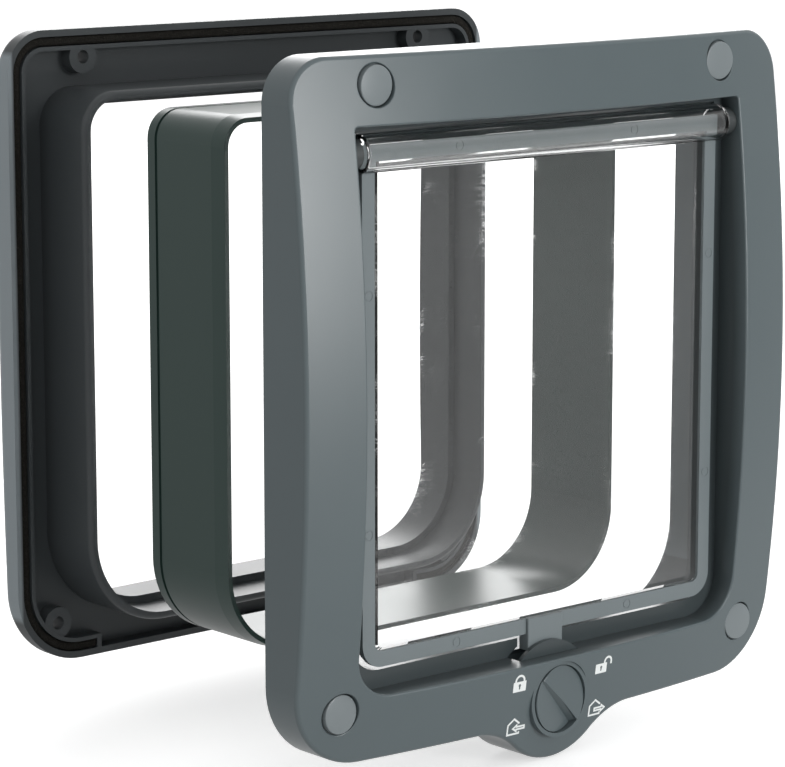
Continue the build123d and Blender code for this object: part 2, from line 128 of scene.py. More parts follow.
# Camera: its place, the direction it looks in, its sensor's width in millimetres and its nearest distance
CAMERA_AT, CAMERA_LOOK = (-0.80147, -0.85259, 0.20080), (0.64551, 0.74331, -0.17550)
SENSOR, CLIP_START = 36.0, 0.01
# Lamps: place and size of each, and the point that they face
FRONT_LAMP_AT, FRONT_LAMP_SIZE = (0.42, -1.80, 0.16), (0.4, 0.9)
BACK_LAMP_AT, BACK_LAMP_SIZE = (1.45, 1.70, 0.85), (2.2, 1.3)
LAMP_AIM = (0, 0.05, 0)
# Floor: gap under the lowest point, half its side, its two greys, light added where the camera sees it
FLOOR_GAP, FLOOR_HALF = 0.0005, 6.0
FLOOR_DARK, FLOOR_LIGHT, FLOOR_GLOW = (0.74, 0.74, 0.74), (0.78, 0.78, 0.78), 0.55
# Level direction away from the camera, towards the bright backdrop
FAR_SIDE = (0.656, 0.755, 0.0)
# Where a reflection's brightness starts to rise that way and is white: metres on the floor, cosine beyond
FLOOR_RISE, ROOM_RISE = (0.0, 0.9), (0.2, 0.8)
# Dark card that keeps the pane clear, a little right of what the pane mirrors: level direction, and the
# cosines to it at the card's edge and where it is full
CARD_SIDE, CARD_SPAN = (0.743, -0.669, 0.0), (0.90, 0.98)
# The same for the card on the far left, which the left sides of the tunnel and frames mirror
LEFT_CARD_SIDE, LEFT_CARD_SPAN = (-0.656, 0.755, 0.0), (0.60, 0.95)


# Properties

class CatFlapColours(PropertyGroup):
    frame_grey: FloatVectorProperty(
        name="Indoor frame", description="Colour of the indoor frame's plastic",
        default=(0.084, 0.107, 0.114), subtype="COLOR", min=0, max=1)
    cap_grey: FloatVectorProperty(
        name="Screw caps", description="Colour of the caps over the door screws",
        default=(0.165, 0.189, 0.197), subtype="COLOR", min=0, max=1)
    strip_grey: FloatVectorProperty(
        name="Flap strip", description="Colour of the strip round the flap",
        default=(0.150, 0.176, 0.184), subtype="COLOR", min=0, max=1)
    tunnel_green: FloatVectorProperty(
        name="Tunnel", description="Colour of the tunnel's plastic",
        default=(0.021, 0.044, 0.038), subtype="COLOR", min=0, max=1)
    rear_grey: FloatVectorProperty(
        name="Outdoor frame", description="Colour of the outdoor frame's plastic",
        default=(0.040, 0.046, 0.049), subtype="COLOR", min=0, max=1)
    foam: FloatVectorProperty(
        name="Foam", description="Colour of the foam seal",
        default=(0.012, 0.011, 0.009), subtype="COLOR", min=0, max=1)
    ink: FloatVectorProperty(
        name="Symbols", description="Colour of the printed lock symbols",
        default=(0.80, 0.83, 0.82), subtype="COLOR", min=0, max=1)


class CatFlapFinish(PropertyGroup):
    grain_size: FloatProperty(
        name="Grain", description="Size of the moulded plastic's grain",
        default=0.0006, min=0.0001, max=0.005, unit="LENGTH")
    grain_depth: FloatProperty(
        name="Grain depth", description="Depth of the moulded plastic's grain",
        default=0.000004, min=0.0, max=0.0005, precision=6, unit="LENGTH")
    scratch_depth: FloatProperty(
        name="Scratch depth", description="Depth of the fine scratches in the pane",
        default=0.0000004, min=0.0, max=0.0002, precision=7, unit="LENGTH")
    stroke: FloatProperty(
        name="Symbol stroke", description="Line width of the printed symbols",
        default=0.00072, min=0.0002, max=0.003, precision=5, unit="LENGTH")


class CatFlapStage(PropertyGroup):
    lens: FloatProperty(
        name="Lens", description="Focal length of the camera in millimetres",
        default=147.46, min=20, max=400)
    key_power: FloatProperty(
        name="Front lamp", description="Power of the softbox in front, a little to the right",
        default=20.0, min=0, unit="POWER")
    back_power: FloatProperty(
        name="Back lamp", description="Power of the broad lamp behind and above",
        default=32.0, min=0, unit="POWER")
    sky: FloatProperty(
        name="Room light", description="Strength of the even light from all round",
        default=0.75, min=0, max=2)
    near_gloss: FloatProperty(
        name="Near side", description="Brightness of the near side in reflections; the far side is white",
        default=0.90, min=0, max=1)
    floor_gloss: FloatProperty(
        name="Near floor", description="Brightness of the floor's near side in reflections",
        default=0.70, min=0, max=1)
    card: FloatProperty(
        name="Right card", description="How much the near right card darkens the pane's reflection",
        default=0.82, min=0, max=1)
    left_card: FloatProperty(
        name="Left card", description="How much the far left card darkens the tunnel's reflection",
        default=0.36, min=0, max=1)


# Helpers

def colours():
    return bpy.context.scene.cat_flap_colours


def finish():
    return bpy.context.scene.cat_flap_finish


def stage():
    return bpy.context.scene.cat_flap_stage


def face_y(x, z):
    """Where the bowed face lies at (x, z) in mm: the near side of the sphere of radius FACE_R."""
    return FACE_Y + FACE_R - np.sqrt(FACE_R ** 2 - x ** 2 - (z - FACE_Z) ** 2)


def new_piece(name, points, faces, material, body, smooth=True):
    """Makes a mesh object of points (n by 3, metres) and faces, with its material, on its body."""
    mesh = bpy.data.meshes.new(name)
    mesh.from_pydata(np.asarray(points, float).tolist(), [], np.asarray(faces, int).tolist())
    mesh.validate()
    mesh.polygons.foreach_set("use_smooth", [smooth] * len(mesh.polygons))
    mesh.materials.append(material)
    piece = bpy.data.objects.new(name, mesh)
    bpy.context.scene.collection.objects.link(piece)
    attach(piece, body)
    return piece


def grid_faces(rows, columns, close_rows=False, close_columns=False):
    """Quads of a grid of rows by columns points, numbered row by row, joined end to start where closed."""
    r = np.arange(rows if close_rows else rows - 1)
    c = np.arange(columns if close_columns else columns - 1)
    r, c = [a.ravel() for a in np.meshgrid(r, c, indexing="ij")]
    r1, c1 = (r + 1) % rows, (c + 1) % columns
    return np.stack([r * columns + c, r * columns + c1, r1 * columns + c1, r1 * columns + c], axis=1)


def dress(node, material):
    """Gives a CAD node its material."""
    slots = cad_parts[node].data.materials
    slots.clear()
    slots.append(material)


# Node groups

def group_in(tree, **sockets):
    """Gives a node group its named number inputs with their defaults, and returns its input node."""
    for name, value in sockets.items():
        tree.interface.new_socket(name, in_out="INPUT", socket_type="NodeSocketFloat").default_value = value
    return tree.nodes.new("NodeGroupInput")


def group_out(tree, *names):
    """Gives a node group its named number outputs, and returns its output node."""
    for name in names:
        tree.interface.new_socket(name, in_out="OUTPUT", socket_type="NodeSocketFloat")
    return tree.nodes.new("NodeGroupOutput")


def math_node(tree, operation, a, b=0.5, clamp=False):
    """The result of a Math node whose inputs are numbers or other nodes' outputs."""
    node = tree.nodes.new("ShaderNodeMath")
    node.operation = operation
    node.use_clamp = clamp
    for socket, value in zip(node.inputs, (a, b)):
        if isinstance(value, (int, float)):
            socket.default_value = value
        else:
            tree.links.new(value, socket)
    return node.outputs[0]


def noise(tree, vector, scale, detail=2.0, rough=0.5):
    """Fractal noise at a place, from 0 to 1 and about 0.5 on average."""
    node = tree.nodes.new("ShaderNodeTexNoise")
    node.inputs["Detail"].default_value = detail
    node.inputs["Roughness"].default_value = rough
    tree.links.new(vector, node.inputs["Vector"])
    if isinstance(scale, (int, float)):
        node.inputs["Scale"].default_value = scale
    else:
        tree.links.new(scale, node.inputs["Scale"])
    return node.outputs["Fac"]


def moulded_grain():
    """Fine satin grain: two sizes of noise make the height, and a broad one shifts the gloss."""
    tree = bpy.data.node_groups.new("Moulded grain", "ShaderNodeTree")
    ins = group_in(tree, Scale=1600.0)
    outs = group_out(tree, "Height", "Broad", "Fine")
    place = tree.nodes.new("ShaderNodeTexCoord").outputs["Object"]
    fine = noise(tree, place, ins.outputs["Scale"], 3.0, 0.6)
    coarse = noise(tree, place, math_node(tree, "MULTIPLY", ins.outputs["Scale"], 0.22), 2.0)
    broad = noise(tree, place, 22.0, 3.0, 0.55)
    most, little = math_node(tree, "MULTIPLY", fine, 0.65), math_node(tree, "MULTIPLY", coarse, 0.35)
    tree.links.new(math_node(tree, "ADD", most, little), outs.inputs["Height"])
    tree.links.new(broad, outs.inputs["Broad"])
    tree.links.new(fine, outs.inputs["Fine"])
    return tree


def hair_scratches():
    """Thin long scratches: noise stretched along two slants, cut to narrow lines and broken into patches."""
    tree = bpy.data.node_groups.new("Hair scratches", "ShaderNodeTree")
    ins = group_in(tree, Scale=60.0, Amount=0.5)
    outs = group_out(tree, "Mask")
    place = tree.nodes.new("ShaderNodeTexCoord").outputs["Object"]
    masks = []
    for turn, stretch in SCRATCH_SETS:
        mapping = tree.nodes.new("ShaderNodeMapping")
        mapping.inputs["Rotation"].default_value = (0, radians(turn), 0)
        mapping.inputs["Scale"].default_value = (1.0, 1.0, stretch)
        tree.links.new(place, mapping.inputs["Vector"])
        wave = noise(tree, mapping.outputs["Vector"], ins.outputs["Scale"], 4.0, 0.65)
        ridge = math_node(tree, "ABSOLUTE", math_node(tree, "SUBTRACT", wave, 0.5))
        masks.append(math_node(tree, "LESS_THAN", ridge, SCRATCH_WIDTH))
    both = math_node(tree, "MAXIMUM", masks[0], masks[1])
    patches = math_node(tree, "GREATER_THAN", noise(tree, place, 45.0), SCRATCH_PATCHES)
    mask = math_node(tree, "MULTIPLY", math_node(tree, "MULTIPLY", both, patches), ins.outputs["Amount"])
    tree.links.new(mask, outs.inputs["Mask"])
    return tree


def settled_dust():
    """Dust on what faces up: the square of the normal's upward part times the square of a fine noise."""
    tree = bpy.data.node_groups.new("Settled dust", "ShaderNodeTree")
    ins = group_in(tree, Amount=0.3)
    outs = group_out(tree, "Mask")
    geometry = tree.nodes.new("ShaderNodeNewGeometry")
    split = tree.nodes.new("ShaderNodeSeparateXYZ")
    tree.links.new(geometry.outputs["Normal"], split.inputs[0])
    up = math_node(tree, "POWER", math_node(tree, "MAXIMUM", split.outputs["Z"], 0.0), 2.0)
    place = tree.nodes.new("ShaderNodeTexCoord").outputs["Object"]
    speckle = math_node(tree, "POWER", noise(tree, place, 700.0, 4.0, 0.7), 2.0)
    mask = math_node(tree, "MULTIPLY", math_node(tree, "MULTIPLY", up, speckle), ins.outputs["Amount"])
    tree.links.new(mask, outs.inputs["Mask"])
    return tree


def between(tree, value, low, high):
    """1 where a value lies between low and high, 0 elsewhere."""
    above = math_node(tree, "GREATER_THAN", value, low)
    return math_node(tree, "MULTIPLY", above, math_node(tree, "LESS_THAN", value, high))


def recess_shade_depth():
    """How deep a point lies in the indoor frame's recess, the mask of the recess's painted shade: its depth
    below the face's sphere, from 0 where the painted shade starts to 1 where it is full, inside the recess's
    width and height alone."""
    tree = bpy.data.node_groups.new("Recess shade depth", "ShaderNodeTree")
    ins = group_in(tree, Full=RECESS_FULL * MM)
    outs = group_out(tree, "Mask")
    place = tree.nodes.new("ShaderNodeTexCoord").outputs["Object"]
    radius = tree.nodes.new("ShaderNodeVectorMath")
    radius.operation = "DISTANCE"
    radius.inputs[1].default_value = (0, (FACE_Y + FACE_R) * MM, FACE_Z * MM)
    tree.links.new(place, radius.inputs[0])
    depth = math_node(tree, "SUBTRACT", (FACE_R - RECESS_START) * MM, radius.outputs["Value"])
    share = math_node(tree, "DIVIDE", depth, ins.outputs["Full"], clamp=True)
    split = tree.nodes.new("ShaderNodeSeparateXYZ")
    tree.links.new(place, split.inputs[0])
    across = between(tree, split.outputs["X"], -RECESS_W * MM, RECESS_W * MM)
    upright = between(tree, split.outputs["Z"], RECESS_LOW * MM, RECESS_TOP * MM)
    inside = math_node(tree, "MULTIPLY", across, upright)
    tree.links.new(math_node(tree, "MULTIPLY", share, inside), outs.inputs["Mask"])
    return tree


def side_painted_light():
    """Painted light on the left and right sides of a piece: a mask from 0 at a distance off the middle plane
    to 1 a little further.
    """
    tree = bpy.data.node_groups.new("Side painted light", "ShaderNodeTree")
    ins = group_in(tree, Beyond=0.1)
    outs = group_out(tree, "Mask")
    split = tree.nodes.new("ShaderNodeSeparateXYZ")
    tree.links.new(tree.nodes.new("ShaderNodeTexCoord").outputs["Object"], split.inputs[0])
    past = math_node(tree, "SUBTRACT", math_node(tree, "ABSOLUTE", split.outputs["X"]), ins.outputs["Beyond"])
    tree.links.new(math_node(tree, "DIVIDE", past, SIDE_RISE * MM, clamp=True), outs.inputs["Mask"])
    return tree


EFFECTS = {
    "Moulded grain": moulded_grain,
    "Hair scratches": hair_scratches,
    "Settled dust": settled_dust,
    "Recess shade depth": recess_shade_depth,
    "Side painted light": side_painted_light,
}


def place_group(tree, name, **values):
    """Places an effect in a material with its own values. The effect is built at its first use."""
    node = tree.nodes.new("ShaderNodeGroup")
    node.node_tree = bpy.data.node_groups.get(name) or EFFECTS[name]()
    for key, value in values.items():
        node.inputs[key].default_value = value
    return node


# Materials

def start_material(name):
    """A material with its tree and shader, or with neither where it has been made before."""
    material = bpy.data.materials.get(name)
    if material:
        return material, None, None
    material = bpy.data.materials.new(name)
    material.use_nodes = True
    tree = material.node_tree
    tree.nodes.clear()
    shader = tree.nodes.new("ShaderNodeBsdfPrincipled")
    out = tree.nodes.new("ShaderNodeOutputMaterial")
    tree.links.new(shader.outputs[0], out.inputs["Surface"])
    return material, tree, shader


def blend(tree, a, b, factor):
    """Colour a mixed towards colour b by a factor from another node."""
    node = tree.nodes.new("ShaderNodeMix")
    node.data_type = "RGBA"
    tree.links.new(factor, node.inputs["Factor"])
    for socket, value in ((node.inputs["A"], a), (node.inputs["B"], b)):
        if isinstance(value, tuple):
            socket.default_value = (*value, 1.0)
        else:
            tree.links.new(value, socket)
    return node.outputs["Result"]


def spread(tree, factor, low, high):
    """A number that eases from low to high as the factor goes from 0.2 to 0.8."""
    node = tree.nodes.new("ShaderNodeMapRange")
    node.interpolation_type = "SMOOTHSTEP"
    tree.links.new(factor, node.inputs["Value"])
    node.inputs["From Min"].default_value = 0.2
    node.inputs["From Max"].default_value = 0.8
    node.inputs["To Min"].default_value = low
    node.inputs["To Max"].default_value = high
    return node.outputs["Result"]


def bump(tree, shader, height, depth):
    """Lets a height from 0 to 1 stand up to a depth in metres."""
    node = tree.nodes.new("ShaderNodeBump")
    node.inputs["Distance"].default_value = depth
    node.inputs["Strength"].default_value = 1.0
    tree.links.new(height, node.inputs["Height"])
    tree.links.new(node.outputs["Normal"], shader.inputs["Normal"])


def shade(colour, factor):
    """A colour made darker or lighter by a factor."""
    return tuple(min(1.0, c * factor) for c in colour)


def satin_plastic(name, colour, rough, gloss=0.5, shift=None):
    """Injection-moulded plastic: even colour with faint cloudiness, satin grain, a trace of dust on top.
    The shift is another effect's name and values, with how much its mask lightens or darkens the colour as
    painted light or shade."""
    material, tree, shader = start_material(name)
    if tree is None:
        return material
    grained = place_group(tree, "Moulded grain", Scale=1.0 / finish().grain_size)
    cloudy = blend(tree, shade(colour, 0.96), shade(colour, 1.04), grained.outputs["Broad"])
    specks = math_node(tree, "MULTIPLY", grained.outputs["Fine"], 0.35)
    speckled = blend(tree, cloudy, shade(colour, 1.12), specks)
    if shift:
        effect_name, values, factor = shift
        mask = place_group(tree, effect_name, **values).outputs["Mask"]
        # The effect's mask paints light or shade into the colour here
        speckled = blend(tree, speckled, shade(colour, factor), mask)
    dusty = place_group(tree, "Settled dust", Amount=DUST_AMOUNT)
    tree.links.new(blend(tree, speckled, DUST, dusty.outputs["Mask"]), shader.inputs["Base Color"])
    satin = spread(tree, grained.outputs["Broad"], rough - 0.02, rough + 0.02)
    tree.links.new(satin, shader.inputs["Roughness"])
    shader.inputs["Specular IOR Level"].default_value = gloss
    bump(tree, shader, grained.outputs["Height"], finish().grain_depth)
    return material


def clear_plastic():
    """Clear pane: faint cool tint and a few hair scratches that just show."""
    material, tree, shader = start_material("Clear pane")
    if tree is None:
        return material
    scratched = place_group(tree, "Hair scratches", Scale=55.0, Amount=1.0)
    tint = blend(tree, (0.985, 0.992, 0.990), (0.95, 0.96, 0.96), scratched.outputs["Mask"])
    tree.links.new(tint, shader.inputs["Base Color"])
    tree.links.new(math_node(tree, "MULTIPLY", scratched.outputs["Mask"], 0.12), shader.inputs["Roughness"])
    shader.inputs["IOR"].default_value = 1.49
    shader.inputs["Transmission Weight"].default_value = 1.0
    bump(tree, shader, scratched.outputs["Mask"], finish().scratch_depth)
    return material


def plated_steel():
    """Zinc-plated screw steel with a fine grain and small changes of tone and gloss."""
    material, tree, shader = start_material("Screw steel")
    if tree is None:
        return material
    grained = place_group(tree, "Moulded grain", Scale=2600.0)
    tone = blend(tree, (0.48, 0.48, 0.47), (0.62, 0.62, 0.60), grained.outputs["Broad"])
    tree.links.new(tone, shader.inputs["Base Color"])
    tree.links.new(spread(tree, grained.outputs["Fine"], 0.24, 0.38), shader.inputs["Roughness"])
    shader.inputs["Metallic"].default_value = 1.0
    bump(tree, shader, grained.outputs["Height"], 0.000006)
    return material


def open_foam():
    """Soft black foam: round pores from cell noise, dull, a little brown in its lighter parts."""
    material, tree, shader = start_material("Black foam")
    if tree is None:
        return material
    place = tree.nodes.new("ShaderNodeTexCoord").outputs["Object"]
    pores = tree.nodes.new("ShaderNodeTexVoronoi")
    pores.inputs["Scale"].default_value = 1500.0
    tree.links.new(place, pores.inputs["Vector"])
    base = tuple(colours().foam)
    tone = blend(tree, shade(base, 0.45), shade(base, 1.5), pores.outputs["Distance"])
    tree.links.new(tone, shader.inputs["Base Color"])
    cloudy = noise(tree, place, 300.0, 3.0)
    tree.links.new(spread(tree, cloudy, 0.88, 1.0), shader.inputs["Roughness"])
    shader.inputs["Specular IOR Level"].default_value = 0.2
    bump(tree, shader, pores.outputs["Distance"], 0.00025)
    return material


def screen_ink():
    """Screen-printed white, a touch thin in places."""
    material, tree, shader = start_material("White ink")
    if tree is None:
        return material
    grained = place_group(tree, "Moulded grain", Scale=2200.0)
    base = tuple(colours().ink)
    tone = blend(tree, shade(base, 0.86), shade(base, 1.03), grained.outputs["Fine"])
    tree.links.new(tone, shader.inputs["Base Color"])
    tree.links.new(spread(tree, grained.outputs["Broad"], 0.42, 0.55), shader.inputs["Roughness"])
    bump(tree, shader, grained.outputs["Height"], 0.000008)
    return material


def frame_plastic():
    """Grey plastic of the indoor frame, the dial and the cam, with painted shade darkening the recess."""
    # Painted shade: the recess is darkened with its depth, standing in for the shade that falls in it
    recess = ("Recess shade depth", {}, RECESS_SHADE)
    return satin_plastic("Indoor frame plastic", tuple(colours().frame_grey), 0.31, shift=recess)


def dark_plastic():
    """Nearly black plastic of the hinge bearings and the lock's cover."""
    return satin_plastic("Dark plastic", DARK_PLASTIC, 0.42)


# Printed symbols

def arc(cx, cz, r, a0, a1, count=24):
    """Points of a circle of radius r about (cx, cz), from angle a0 to a1 in degrees from +X."""
    a = np.radians(np.linspace(a0, a1, count))
    return np.stack([cx + r * np.cos(a), cz + r * np.sin(a)], axis=1)


def densify(points, closed, step=0.4):
    """The same line with more points, about a step apart, so that ink bends with the face."""
    points = np.asarray(points, float)
    ends = np.roll(points, -1, axis=0) if closed else points[1:]
    starts = points if closed else points[:-1]
    runs = [a + (b - a) * np.linspace(0, 1, max(2, int(np.hypot(*(b - a)) / step) + 1))[:-1, None]
            for a, b in zip(starts, ends)]
    return np.concatenate(runs + ([] if closed else [points[-1:]]))


def stroke_mesh(points, closed, width):
    """A flat line of a given width: each point moves both ways along its mitre, the sum of the two
    neighbouring runs' normals over one plus the cosine between them."""
    p = densify(points, closed)
    forward = np.roll(p, -1, axis=0) - p
    back = p - np.roll(p, 1, axis=0)
    if not closed:
        forward[-1], back[0] = back[-1], forward[0]
    forward /= np.linalg.norm(forward, axis=1, keepdims=True)
    back /= np.linalg.norm(back, axis=1, keepdims=True)
    n1 = np.stack([-forward[:, 1], forward[:, 0]], axis=1)
    n0 = np.stack([-back[:, 1], back[:, 0]], axis=1)
    mitre = (n0 + n1) / np.maximum(0.4, 1 + np.sum(n0 * n1, axis=1, keepdims=True))
    sides = np.stack([p - mitre * width / 2, p + mitre * width / 2], axis=1).reshape(-1, 2)
    return sides, grid_faces(len(p), 2, close_rows=closed)


def ring_mesh(outer, inner):
    """The flat face between two closed lines with as many points each."""
    points = np.stack([outer, inner], axis=1).reshape(-1, 2)
    return points, grid_faces(len(outer), 2, close_rows=True)


def resample(points, count):
    """A closed line as a number of points spaced evenly along it."""
    p = np.concatenate([points, points[:1]])
    s = np.concatenate([[0], np.cumsum(np.hypot(*np.diff(p, axis=0).T))])
    at = np.linspace(0, s[-1], count + 1)[:-1]
    return np.stack([np.interp(at, s, p[:, i]) for i in (0, 1)], axis=1)


def padlock_body(x0, x1, z0, z1):
    """Filled body with a keyhole left open: the face between its outline and the keyhole's."""
    corners = np.array([(x0, z0), (x1, z0), (x1, z1), (x0, z1)])
    cx, cz = (x0 + x1) / 2, (z0 + z1) / 2 + KEYHOLE_RISE
    foot = [(cx - KEYHOLE_SLOT, cz - KEYHOLE_LOW), (cx + KEYHOLE_SLOT, cz - KEYHOLE_LOW)]
    hole = np.concatenate([foot, arc(cx, cz, KEYHOLE_R, -50, 230, 20)])
    return ring_mesh(resample(corners, BODY_STEPS), resample(hole, BODY_STEPS))


def shackle(cx, cz, r, left_leg, right_leg):
    """Bow of a padlock: half a circle with a straight leg at each end."""
    return np.concatenate([[(cx + r, cz - right_leg)], arc(cx, cz, r, 0, 180), [(cx - r, cz - left_leg)]])


def house(x0, x1, low, eave, apex, wall):
    """House outline, whose right wall stops low so that the arrow can pass through it."""
    return [(x1, wall), (x1, low), (x0, low), (x0, eave), ((x0 + x1) / 2, apex), (x1, eave)]


def block_arrow(tail, tip, z):
    """Outline of an arrow from its tail to its tip along X."""
    neck = tip - ARROW_HEAD * np.sign(tip - tail)
    return [(tail, z + ARROW_SHAFT), (neck, z + ARROW_SHAFT), (neck, z + ARROW_HALF), (tip, z),
            (neck, z - ARROW_HALF), (neck, z - ARROW_SHAFT), (tail, z - ARROW_SHAFT)]


def groove_line():
    """Centre of the outdoor frame's groove, from its lower left end up, over and down to its lower right
    end: straight runs joined by quarter circles, each of the rim's corner radius less the groove's inset."""
    w, low, top = RIM_W - GROOVE_IN, RIM_LOW + GROOVE_IN, RIM_TOP - GROOVE_IN
    r0, r1 = RIM_R_LOW - GROOVE_IN, RIM_R_TOP - GROOVE_IN
    left = [[(-GROOVE_END, low)], arc(r0 - w, low + r0, r0, 270, 180), arc(r1 - w, top - r1, r1, 180, 90)]
    right = [arc(w - r1, top - r1, r1, 90, 0), arc(w - r0, low + r0, r0, 0, -90), [(GROOVE_END, low)]]
    return densify(np.concatenate(left + right), False, FOAM_STEP)


def print_symbol(name, parts):
    """Lays flat ink on the bowed face, its seen side outwards, towards -Y."""
    points, faces, count = [], [], 0
    for xz, quads in parts:
        y = face_y(xz[:, 0], xz[:, 1]) - INK
        points.append(np.stack([xz[:, 0], y, xz[:, 1]], axis=1) * MM)
        faces.append(quads + count)
        count += len(xz)
    points, faces = np.concatenate(points), np.concatenate(faces)
    a, b, c = (points[faces[:, i]] for i in (0, 1, 2))
    turned = np.cross(b - a, c - a)[:, 1] > 0
    faces[turned] = faces[turned][:, ::-1]
    return new_piece(name, points, faces, screen_ink(), "indoor", smooth=False)


# Operators

class CATFLAP_OT_indoor_frame(Operator):
    """Satin grey plastic on the indoor frame, with painted shade in its recess, and dark plastic on the hinge
    bearings
    """
    bl_idname = "catflap.indoor_frame"
    bl_label = "Indoor frame"

    def execute(self, context):
        dress("front_frame", frame_plastic())
        for node in ("hinge_bearing_left", "hinge_bearing_right"):
            dress(node, dark_plastic())
        return {"FINISHED"}


class CATFLAP_OT_screws(Operator):
    """Caps, plated door screws and their threads"""
    bl_idname = "catflap.screws"
    bl_label = "Door screws and caps"

    def execute(self, context):
        cap = satin_plastic("Screw cap plastic", tuple(colours().cap_grey), 0.31)
        for i in range(1, 5):
            dress("screw_cap_%d" % i, cap)
            dress("door_screw_%d" % i, plated_steel())
            self.thread(i)
        return {"FINISHED"}

    def thread(self, i):
        """Thread: a triangular ridge carried along a helix about the screw's axis, one pitch further along
        Y with each turn, and lower over the first and the last turn."""
        low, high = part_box("door_screw_%d" % i)
        cx, cz = (low.x + high.x) / 2, (low.z + high.z) / 2
        y1 = high.y - THREAD_TIP * MM
        y0 = y1 - THREAD_TURNS * THREAD_PITCH * MM
        t = np.linspace(0, 1, THREAD_TURNS * THREAD_STEPS + 1)
        grow = np.clip(np.minimum(t, 1 - t) * THREAD_TURNS, 0, 1)
        a = 2 * pi * THREAD_TURNS * t
        root = SCREW_ROOT_R * MM
        crest = (SCREW_ROOT_R + THREAD_END + (SCREW_CREST_R - SCREW_ROOT_R) * grow) * MM
        half = THREAD_PITCH * THREAD_FOOT * MM
        y = y0 + (y1 - y0) * t
        rows = [np.stack([cx + r * np.cos(a), y + dy, cz + r * np.sin(a)], axis=1)
                for r, dy in ((root, -half), (crest, 0 * t), (root, half))]
        points = np.stack(rows, axis=1).reshape(-1, 3)
        faces = grid_faces(len(t), 3, close_columns=True)
        new_piece("thread_%d" % i, points, faces, plated_steel(), "indoor", smooth=False)


class CATFLAP_OT_flap(Operator):
    """Clear pane, the strip round it and the catch"""
    bl_idname = "catflap.flap"
    bl_label = "Flap"

    def execute(self, context):
        dress("flap_pane", clear_plastic())
        strip = satin_plastic("Flap strip plastic", tuple(colours().strip_grey), 0.34)
        dress("flap_strip", strip)
        dress("flap_catch", strip)
        return {"FINISHED"}


class CATFLAP_OT_lock(Operator):
    """Dial, cam, cover and their screws"""
    bl_idname = "catflap.lock"
    bl_label = "Lock"

    def execute(self, context):
        dress("lock_dial", frame_plastic())
        dress("lock_cam", frame_plastic())
        dress("lock_cover", dark_plastic())
        for node in ("cam_screw", "cover_screw_1", "cover_screw_2"):
            dress(node, plated_steel())
        return {"FINISHED"}


class CATFLAP_OT_symbols(Operator):
    """Four printed lock symbols: shut, open, in only and out only"""
    bl_idname = "catflap.symbols"
    bl_label = "Lock symbols"

    def execute(self, context):
        line = finish().stroke / MM
        padlocks = (("symbol_shut", SHUT_BODY, SHUT_BOW), ("symbol_open", OPEN_BODY, OPEN_BOW))
        for name, body, bow in padlocks:
            curve = stroke_mesh(shackle(*bow), False, line * BOW_LINE)
            print_symbol(name, [padlock_body(*body), curve])
        houses = (("symbol_in", IN_HOUSE, IN_ARROW), ("symbol_out", OUT_HOUSE, OUT_ARROW))
        for name, walls, arrow in houses:
            outline = stroke_mesh(house(*walls), False, line)
            print_symbol(name, [outline, stroke_mesh(block_arrow(*arrow), True, line)])
        return {"FINISHED"}


class CATFLAP_OT_tunnel(Operator):
    """Grey-green plastic on the tunnel"""
    bl_idname = "catflap.tunnel"
    bl_label = "Tunnel"

    def execute(self, context):
        dress("tunnel", satin_plastic("Tunnel plastic", tuple(colours().tunnel_green), 0.32))
        return {"FINISHED"}


class CATFLAP_OT_outdoor_frame(Operator):
    """Dark plastic on the outdoor frame with painted light on its left and right sides, and foam in its
    groove
    """
    bl_idname = "catflap.outdoor_frame"
    bl_label = "Outdoor frame"

    def execute(self, context):
        # Painted light: the rim's left and right sides are lightened, standing in for the light that falls on
        # them
        side_light = ("Side painted light", {"Beyond": (RIM_W - SIDE_IN) * MM}, SIDE_LIGHT)
        grey = tuple(colours().rear_grey)
        dress("rear_frame", satin_plastic("Outdoor frame plastic", grey, 0.40, gloss=0.4, shift=side_light))
        self.foam()
        return {"FINISHED"}

    def foam(self):
        """Foam strip: a rounded section carried along the groove. The section is a superellipse, each
        coordinate the cosine or sine to the power 2/3, and three slow waves make its cut faces uneven."""
        low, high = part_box("foam_seal")
        line = groove_line()
        run = np.gradient(line, axis=0)
        run /= np.linalg.norm(run, axis=1, keepdims=True)
        across = np.stack([-run[:, 1], run[:, 0]], axis=1)
        t = np.linspace(0, 2 * pi, FOAM_STEPS, endpoint=False)
        u = np.sign(np.cos(t)) * np.abs(np.cos(t)) ** (2 / 3)
        v = np.sign(np.sin(t)) * np.abs(np.sin(t)) ** (2 / 3)
        s = np.cumsum(np.hypot(*np.diff(line, axis=0, prepend=line[:1]).T))[:, None]
        waves = [np.sin(s * along + t * about) for along, about in FOAM_WAVES]
        wave = sum(waves) * FOAM_ROUGH / len(waves)
        width, depth = (FOAM_W - FOAM_ROUGH + wave) * u, (FOAM_D - FOAM_ROUGH + wave) * v
        points = np.empty((len(line), len(t), 3))
        points[..., 0] = line[:, :1] + across[:, :1] * width
        points[..., 1] = (low.y + high.y) / 2 / MM + depth
        points[..., 2] = line[:, 1:] + across[:, 1:] * width
        faces = grid_faces(len(line), len(t), close_columns=True)
        i = np.arange(len(t) // 2 - 1)
        end = np.stack([i, i + 1, len(t) - 2 - i, len(t) - 1 - i], axis=1)
        last = (len(line) - 1) * len(t)
        faces = np.concatenate([faces[:, ::-1], end, end[:, ::-1] + last])
        points = points.reshape(-1, 3) * MM
        piece = new_piece("foam_strip", points, faces, open_foam(), "outdoor")
        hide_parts("foam_seal")


